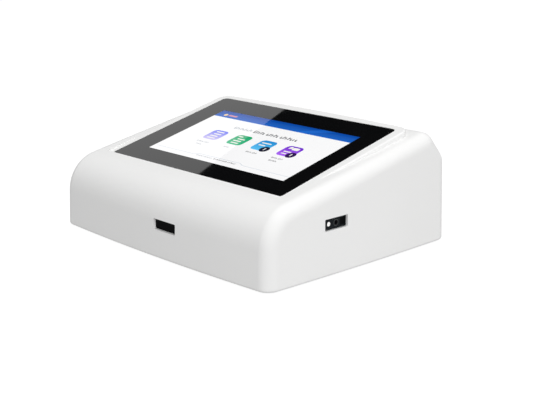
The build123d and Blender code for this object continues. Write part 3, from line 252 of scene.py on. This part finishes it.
WHITE = housing_look()
GLASS = glass_look()
DARK_MODULE = plastic("dark_module", srgb(30, 34, 36), 0.5, 3000, 0.01)
BLACK_PLASTIC = plastic("black_plastic", srgb(24, 24, 25), 0.42)
BLACK_GLOSS = plastic("black_gloss", srgb(13, 13, 14), 0.16, 1800, 0.004)
PORT_BLACK = plastic("port_black", srgb(10, 10, 11), 0.55, 1800, 0.004)
GREY_BASE = plastic("grey_base", srgb(120, 122, 124), 0.5, 1800, 0.03)
RUBBER = plastic("rubber", srgb(28, 28, 28), 0.72, 900, 0.05, 0.12)
TAPE = plastic("black_tape", srgb(14, 14, 14), 0.6, 2500, 0.02)
ACETAL = plastic("acetal", srgb(232, 230, 222), 0.3, 1500, 0.01, 0.03)
NYLON = plastic("nylon", srgb(226, 220, 202), 0.42, 1500, 0.01, 0.05)
BOARD = plastic("board", srgb(22, 92, 52), 0.32, 500, 0.03, 0.15)
CHIP = plastic("chip", srgb(34, 34, 35), 0.5, 2600, 0.02)
RIBBON = plastic("ribbon", srgb(196, 122, 44), 0.3, 900, 0.01, 0.1)
PAPER = plastic("paper", srgb(44, 42, 40), 0.8, 1400, 0.05, 0.15)
STEEL = metal("steel", srgb(176, 176, 174), 0.32)
ZINC = metal("zinc", srgb(190, 192, 194), 0.36, (1, 12, 1))
TIN = metal("tin", srgb(200, 200, 198), 0.22, (12, 1, 1))
BRASS = metal("brass", srgb(206, 170, 92), 0.28)
ALUMINIUM = metal("aluminium", srgb(204, 205, 206), 0.3, (1, 1, 10))
SINK = plastic("anodised", srgb(34, 34, 36), 0.36, 1500, 0.01)

for dull in (DARK_MODULE, PORT_BLACK):
    dull.node_tree.nodes["Principled BSDF"].inputs["Specular IOR Level"].default_value = 0.03

LOOKS = {
    WHITE: ("top_housing",),
    GLASS: ("cover_glass",),
    TAPE: ("glass_tape",),
    DARK_MODULE: ("scan_body",),
    BLACK_PLASTIC: ("power_jack", "switch_body", "strip_tray", "reader_head", "home_sensor"),
    BLACK_GLOSS: ("power_rocker", "lcd_cell", "lcd_film"),
    PORT_BLACK: ("tray_face", "scan_window"),
    GREY_BASE: ("base_plate", "rear_panel", "tray_guide"),
    RUBBER: ("rubber_feet",),
    ACETAL: ("tray_rack", "drive_pinion"),
    NYLON: ("board_connectors",),
    BOARD: ("main_board",),
    CHIP: ("processor", "memory_chips"),
    RIBBON: ("display_ribbon",),
    PAPER: ("speaker_cone",),
    STEEL: ("lcd_screws", "base_screws", "board_screws", "panel_screws", "scan_screws",
            "motor_screws", "guide_screws", "head_screws", "motor_shaft"),
    ZINC: ("lcd_bracket", "scan_bracket", "motor_bracket", "speaker_frame"),
    TIN: ("usb_ports", "network_jack", "lcd_backlight"),
    BRASS: ("threaded_inserts", "board_standoffs"),
    ALUMINIUM: ("capacitors", "stepper_motor", "speaker_magnet"),
    SINK: ("heat_sink",),
}
for material, nodes in LOOKS.items():
    for node in nodes:
        cad_look(node, material)


def lamp_look():
    look = Look("lamp", IOR=1.5)
    look.colour(look.noise(900, 2), (0.86, 0.86, 0.84, 1), (0.95, 0.95, 0.94, 1))
    look.roughness(look.noise(600, 3), 0.22, 0.34)
    look.shader.inputs["Emission Color"].default_value = (1, 1, 1, 1)
    look.shader.inputs["Emission Strength"].default_value = 0.15
    return look.mat


def lens_look():
    look = Look("lens", IOR=1.6)
    look.colour(look.noise(1200, 2), (0.002, 0.002, 0.003, 1), (0.004, 0.004, 0.006, 1))
    look.roughness(look.noise(500, 2), 0.03, 0.08)
    look.shader.inputs["Specular IOR Level"].default_value = 0.2
    return look.mat


cad_look("scan_lamp", lamp_look())
cad_look("scan_lens", lens_look())
cad_look("head_lens", lens_look())

# ---------------------------------------------------------------- the picture on the screen
PIXEL = VIEW_W / 1024
# The picture lies 2 mm under the clear pane's face, set off to the left and rear to allow for that depth.
LAID_X, LAID_S, LAID_DEEP = -4.0, 3.3, -2.0


def lit_look(name, low, high, low_s=-45.0, high_s=45.0, power=1.12):
    """Glowing picture colour: shades from low to high up the screen, with the panel's pixel grid."""
    look = Look(name, IOR=1.45, Roughness=0.5)
    look.shader.inputs["Specular IOR Level"].default_value = 0.0
    up = look.node("ShaderNodeVectorMath", operation="DOT_PRODUCT")
    look.link(look.coords, up.inputs[0])
    up.inputs[1].default_value = SCREEN_UP
    place = look.maths("SUBTRACT", up.outputs["Value"], GLASS_MIDDLE.dot(SCREEN_UP) + LAID_S * MM)
    shade_up = look.node("ShaderNodeMapRange")
    look.link(place, shade_up.inputs["Value"])
    shade_up.inputs["From Min"].default_value = low_s * MM
    shade_up.inputs["From Max"].default_value = high_s * MM
    tint = look.two_tone(shade_up.outputs[0], low, high)
    rows = look.maths("SINE", look.maths("MULTIPLY", place, math.tau / PIXEL))
    drift = look.spread(look.noise(18, 2), -0.012, 0.012)
    glow = look.maths("ADD", look.maths("MULTIPLY", rows, 0.03), look.maths("ADD", drift, power))
    look.link(tint, look.shader.inputs["Emission Color"])
    look.link(glow, look.shader.inputs["Emission Strength"])
    look.shader.inputs["Base Color"].default_value = (0.01, 0.01, 0.012, 1)
    return look.mat


class Picture:
    """Flat shapes laid on the lit area, in millimetres across and up from the glass's middle."""

    def __init__(self, name):
        self.mesh = bpy.data.meshes.new(name)
        self.piece = bpy.data.objects.new(name, self.mesh)
        bpy.context.collection.objects.link(self.piece)
        self.form = bmesh.new()

    def shape(self, look, points, layer):
        if look.name not in self.mesh.materials:
            self.mesh.materials.append(look)
        lift = LAID_DEEP + 0.02 * layer
        corners = [self.form.verts.new(on_glass(x + LAID_X, s + LAID_S, lift)) for x, s in points]
        face = self.form.faces.new(corners)
        face.normal_update()
        if face.normal.dot(SCREEN_OUT) < 0:
            face.normal_flip()
        face.material_index = self.mesh.materials.find(look.name)

    def plate(self, look, x0, x1, s0, s1, layer, corner=0.0):
        self.shape(look, rounded(x0, x1, s0, s1, corner), layer)

    def disc(self, look, x, s, radius, layer, steps=28):
        ring = [(x + radius * math.cos(math.tau * k / steps), s + radius * math.sin(math.tau * k / steps))
                for k in range(steps)]
        self.shape(look, ring, layer)

    def done(self):
        self.form.to_mesh(self.mesh)
        self.form.free()
        return self.piece


def rounded(x0, x1, s0, s1, corner):
    """The outline of a rectangle with round corners."""
    if corner <= 0:
        return [(x0, s0), (x1, s0), (x1, s1), (x0, s1)]
    points = []
    for cx, cs, turn in ((x1 - corner, s1 - corner, 0), (x0 + corner, s1 - corner, 90),
                         (x0 + corner, s0 + corner, 180), (x1 - corner, s0 + corner, 270)):
        for step in range(7):
            angle = math.radians(turn + 15 * step)
            points.append((cx + corner * math.cos(angle), cs + corner * math.sin(angle)))
    return points


def words(picture, look, x0, s, height, lengths, gap, layer):
    """A line of text stood for by short strokes of uneven height, with no letters in it."""
    x = x0
    for index, length in enumerate(lengths):
        count = max(2, round(length / (height * 0.62)))
        pitch = length / count
        for place in range(count):
            tall = 1.0 if (place * 5 + index * 3) % 7 in (0, 4) else 0.72
            left = x + place * pitch
            foot = s - height / 2
            picture.plate(look, left, left + pitch * 0.42, foot, foot + height * tall, layer)
            if place % 3 != 2:
                level = foot + height * (0.62 if place % 2 else 0.0)
                picture.plate(look, left, left + pitch * 0.8, level, level + height * 0.2, layer)
        x += length + gap


ICON = 8.6                          # half the side of an icon
ICON_S = -1.3
ICON_ROWS = (4.3, 0.4, -3.2, -6.8)  # heights of the bars on an icon


def icon(picture, x, look, bars, rows, badge=None, badge_mark=None):
    """One rounded tile with its bars and, on two of them, a round badge."""
    picture.plate(look, x - ICON, x + ICON, ICON_S - ICON, ICON_S + ICON, 1, 4.0)
    for s, left, right in rows:
        picture.plate(bars, x + left, x + right, s - 0.75, s + 0.75, 2, 0.7)
    if badge:
        picture.disc(badge, x + 5.9, ICON_S - 5.2, 4.5, 3)
        picture.plate(badge_mark, x + 5.3, x + 6.5, ICON_S - 6.8, ICON_S - 3.2, 4, 0.55)


def screen_picture():
    picture = Picture("screen_picture")
    left = VIEW_X / MM - VIEW_W / MM / 2 - 1.0
    right = VIEW_X / MM + VIEW_W / MM / 2 + 7.5
    low = VIEW_S / MM - VIEW_D / MM / 2 - 6.0
    high = VIEW_S / MM + VIEW_D / MM / 2 + 1.0
    white = lit_look("picture_white", srgb(252, 252, 253), srgb(255, 255, 255))
    picture.plate(white, left, right, low, high, 0)

    blue = lit_look("picture_blue", srgb(10, 100, 200), srgb(12, 72, 165), 29.5, 41.0)
    picture.plate(blue, left, right, 29.5, high, 1)
    swoosh = lit_look("picture_blue_band", srgb(18, 110, 214), srgb(24, 92, 190), 29.5, 41.0)
    picture.shape(swoosh, [(22, 29.5), (30, 29.5), (58, high), (44, high)], 2)
    warm = lit_look("picture_warm", srgb(245, 208, 155), srgb(249, 221, 176), 32, 38)
    rose = lit_look("picture_rose", srgb(221, 144, 161), srgb(228, 160, 172), 32, 38)
    picture.disc(warm, -64.5, 34.0, 2.0, 2)
    picture.plate(rose, -61.0, -50.5, 33.0, 35.2, 2, 0.9)

    ink = lit_look("picture_ink", srgb(46, 48, 54), srgb(60, 62, 68))
    # Painted reflection: the dark picture ink lightened to pale grey-blue to stand for the studio glare over
    # the left of the glass; words left of the glare's edge take it, words right of it take the dark ink
    painted_glare_ink = lit_look("picture_ink_painted_glare", srgb(161, 167, 176), srgb(172, 179, 186))
    words(picture, painted_glare_ink, -34.4, 16.7, 3.8, (22.0,), 1.0, 1)
    words(picture, ink, -11.2, 16.7, 4.4, (13.0, 13.6, 19.0), 1.9, 1)

    tile = (-10.2, 7.5)
    clean = lit_look("picture_bar", srgb(245, 242, 238), srgb(255, 252, 244), *tile)
    lavender = lit_look("picture_lavender", srgb(208, 198, 245), srgb(99, 115, 242), *tile)
    green = lit_look("picture_green", srgb(58, 188, 136), srgb(26, 172, 112), *tile)
    sky = lit_look("picture_sky", srgb(92, 198, 250), srgb(6, 140, 214), *tile)
    purple = lit_look("picture_purple", srgb(176, 104, 248), srgb(104, 4, 204), *tile)
    night = lit_look("picture_night", srgb(14, 18, 42), srgb(22, 26, 58), *tile)
    plum = lit_look("picture_plum", srgb(38, 6, 74), srgb(52, 10, 96), *tile)
    icon(picture, -38.4, lavender, clean,
         [(ICON_ROWS[0], -4.8, 4.6), (ICON_ROWS[1], -3.8, 4.8),
          (ICON_ROWS[2], -4.8, 4.2), (ICON_ROWS[3], -4.8, 4.8)])
    icon(picture, -9.9, green, clean,
         [(ICON_ROWS[0], -6.6, -1.4), (ICON_ROWS[1], -4.0, 4.6),
          (ICON_ROWS[2], -5.6, 3.6), (ICON_ROWS[3], -4.4, 4.0)])
    icon(picture, 18.2, sky, clean, [(2.6, -5.8, 4.6), (-1.4, -5.8, 1.6)], night, clean)
    icon(picture, 46.8, purple, clean,
         [(2.9, -5.4, -4.0), (-2.6, -5.4, 2.6), (-6.0, -5.0, 0.6)], plum, clean)
    picture.plate(clean, 46.8 - 1.6, 46.8 + 5.4, 1.2, 5.4, 2, 1.4)
    picture.disc(clean, 46.8 - 3.6, 4.2, 1.7, 2)

    # Painted reflection: the lower words left of the glare's edge take the lightened ink, the rest the dark
    # ink
    words(picture, painted_glare_ink, -45.6, -15.2, 2.0, (8.2, 5.0), 0.9, 1)
    words(picture, painted_glare_ink, -41.5, -19.8, 1.9, (6.4,), 0.9, 1)
    words(picture, painted_glare_ink, -13.0, -15.2, 2.0, (6.0,), 0.9, 1)
    words(picture, ink, 12.4, -15.0, 2.0, (6.2, 4.8), 0.8, 1)
    words(picture, ink, 40.8, -15.0, 2.0, (6.4, 4.6), 0.8, 1)
    words(picture, ink, 42.2, -19.6, 1.9, (8.6,), 0.8, 1)

    rule = lit_look("picture_rule", srgb(196, 208, 220), srgb(206, 216, 226))
    picture.plate(rule, left + 3, -27, -36.3, -35.9, 1)
    picture.plate(rule, 31, right - 3, -36.3, -35.9, 1)
    picture.shape(rule, [(-27, -36.3), (-26.6, -35.9), (-22, -33.6), (26, -33.6), (30.6, -35.9), (31, -36.3),
                         (30.4, -36.3), (25.8, -34.0), (-21.8, -34.0), (-26.4, -36.3)], 1)
    # Painted reflection: the footer words left of the glare's edge take the lightened ink, the rest the dark
    # ink
    words(picture, painted_glare_ink, -22.0, -36.2, 1.7, (8.0, 9.5), 0.9, 1)
    words(picture, ink, -2.0, -36.2, 1.8, (9.0, 6.0, 8.5), 0.8, 1)
    return picture.done()


def lens_rim():
    """The thin turned bezel round the reader's lens, standing just off the module's face."""
    low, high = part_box("scan_lens")
    face_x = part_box("scan_body")[1][0]
    centre = Vector((face_x, (low[1] + high[1]) / 2, (low[2] + high[2]) / 2))
    section = ((1.98, 0.0), (1.98, 0.06), (2.06, 0.13), (2.30, 0.13), (2.42, 0.04), (2.42, 0.0))
    form = bmesh.new()
    steps = 64
    rings = []
    for k in range(steps):
        angle = math.tau * k / steps
        rings.append([form.verts.new(centre + Vector((out, r * math.cos(angle), r * math.sin(angle))) * MM)
                      for r, out in section])
    for k in range(steps):
        here, after = rings[k], rings[(k + 1) % steps]
        for j in range(len(section)):
            i = (j + 1) % len(section)
            form.faces.new((here[j], here[i], after[i], after[j]))
    bmesh.ops.recalc_face_normals(form, faces=form.faces)
    mesh = bpy.data.meshes.new("lens_rim")
    form.to_mesh(mesh)
    form.free()
    mesh.materials.append(plastic("rim_grey", srgb(58, 62, 62), 0.4, 2600, 0.006))
    rim = bpy.data.objects.new("lens_rim", mesh)
    bpy.context.collection.objects.link(rim)
    return rim


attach(lens_rim(), "terminal")
PICTURE = screen_picture()
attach(PICTURE, "terminal")
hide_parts("lcd_film")

# ---------------------------------------------------------------- studio
def studio_world():
    world = bpy.data.worlds.new("studio")
    bpy.context.scene.world = world
    world.use_nodes = True
    tree = world.node_tree
    soft = tree.nodes["Background"]
    soft.inputs["Color"].default_value = (1, 1, 1, 1)
    soft.inputs["Strength"].default_value = 0.36
    paper = tree.nodes.new("ShaderNodeBackground")
    paper.inputs["Color"].default_value = (1, 1, 1, 1)
    paper.inputs["Strength"].default_value = 1.1
    rays = tree.nodes.new("ShaderNodeLightPath")
    mix = tree.nodes.new("ShaderNodeMixShader")
    tree.links.new(rays.outputs["Is Camera Ray"], mix.inputs[0])
    tree.links.new(soft.outputs[0], mix.inputs[1])
    tree.links.new(paper.outputs[0], mix.inputs[2])
    tree.links.new(mix.outputs[0], tree.nodes["World Output"].inputs["Surface"])


def area_light(name, place, target, size, power):
    data = bpy.data.lights.new(name, "AREA")
    data.shape = "RECTANGLE"
    data.size, data.size_y = size
    data.energy = power
    lamp = bpy.data.objects.new(name, data)
    bpy.context.collection.objects.link(lamp)
    lamp.visible_glossy = False
    lamp.location = place
    lamp.rotation_euler = (Vector(target) - Vector(place)).to_track_quat("-Z", "Y").to_euler()
    return lamp


def floor():
    bpy.ops.mesh.primitive_plane_add(size=6.0, location=(0, 0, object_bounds()[0].z))
    plane = bpy.context.object
    plane.name = "floor"
    look = Look("floor", Roughness=0.9)
    look.colour(look.noise(3, 2), (0.13, 0.13, 0.13, 1), (0.15, 0.15, 0.15, 1))
    seen = look.node("ShaderNodeLightPath").outputs["Is Camera Ray"]
    look.shader.inputs["Emission Color"].default_value = (1, 1, 1, 1)
    glow = look.maths("ADD", look.maths("MULTIPLY", seen, 0.53), 0.4)
    look.link(glow, look.shader.inputs["Emission Strength"])
    plane.data.materials.append(look.mat)
    plane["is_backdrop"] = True
    return plane


EYE = GLASS_MIDDLE + Vector((610.8, -561.2, 173.6)) * MM
# Where the cards' shared edge mirrors, across and up from the glass's middle.
CARDS_TOP = (-22.7, 62.5)
CARDS_END = (9.2, -62.2)


def mirrored(point):
    """The way a sight line from the camera leaves the glass at this point."""
    line = (point - EYE).normalized()
    return line - SCREEN_OUT * 2 * line.dot(SCREEN_OUT)


def card(name, look, corners):
    """A studio card that shows only in reflections."""
    mesh = bpy.data.meshes.new(name)
    mesh.from_pydata([tuple(c) for c in corners], [], [(0, 1, 2, 3)])
    mesh.materials.append(look)
    made = bpy.data.objects.new(name, mesh)
    bpy.context.collection.objects.link(made)
    made.visible_camera = False
    made.visible_diffuse = False
    made.visible_shadow = False
    made.visible_transmission = False
    made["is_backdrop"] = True
    return made


def card_look(name, glow):
    look = Look(name, Roughness=1.0)
    look.colour(look.noise(2, 1), (0.002, 0.002, 0.002, 1), (0.003, 0.003, 0.003, 1))
    look.shader.inputs["Specular IOR Level"].default_value = 0.0
    look.shader.inputs["Emission Color"].default_value = (1, 1, 1, 1)
    look.shader.inputs["Emission Strength"].default_value = glow
    return look.mat


def reflection_cards():
    """A white and a black card, edge to edge, that the glass mirrors towards the camera."""
    way = mirrored(GLASS_MIDDLE)

    def on_card(x, s):
        start = on_glass(x, s)
        line = mirrored(start)
        reach = (GLASS_MIDDLE + way * CARD_OFF - start).dot(way) / line.dot(way)
        return start + line * reach

    def spread(x, s, push):
        """A card corner, moved out from the card's middle by this factor."""
        centre = GLASS_MIDDLE + way * CARD_OFF
        return centre + (on_card(x, s) - centre) * push

    top, end = on_card(*CARDS_TOP), on_card(*CARDS_END)
    along = top - end
    top, end = top + along * 0.15, end - along * 0.15
    half_w, half_d = 98.0, 64.0
    dark = [top, spread(half_w, half_d, 1.15), spread(half_w, -half_d, 1.15), end]
    bright = [top, spread(-half_w, half_d, 1.4), spread(-half_w, -half_d, 1.4), end]
    card("black_card", card_look("black_card", 0.0), dark)
    card("white_card", card_look("white_card", CARD_GLOW), bright)


def camera():
    data = bpy.data.cameras.new("camera")
    data.sensor_width = 36.0
    data.lens = 72.67
    data.clip_start, data.clip_end = 0.02, 30
    eye = bpy.data.objects.new("camera", data)
    bpy.context.collection.objects.link(eye)
    forward = Vector((-0.6991, 0.6671, -0.2572))
    turn = forward.to_track_quat("-Z", "Y").to_matrix().to_4x4()
    eye.matrix_world = Matrix.Translation(EYE) @ turn @ Matrix.Rotation(math.radians(0.18), 4, "Z")
    bpy.context.scene.camera = eye
    return eye


bpy.context.scene.view_settings.view_transform = "Standard"
bpy.context.scene.view_settings.look = "None"
studio_world()
floor()
area_light("top_soft", (0.2, 0.35, 2.6), (0, 0, 0.05), (1.8, 1.8), 36.0)
area_light("side_soft", (2.6, -1.15, 1.2), (0, 0, 0.04), (1.6, 1.4), 49.0)
area_light("front_fill", (-1.2, -2.4, 0.9), (0, 0, 0.04), (1.6, 1.2), 7.0)
camera()
reflection_cards()
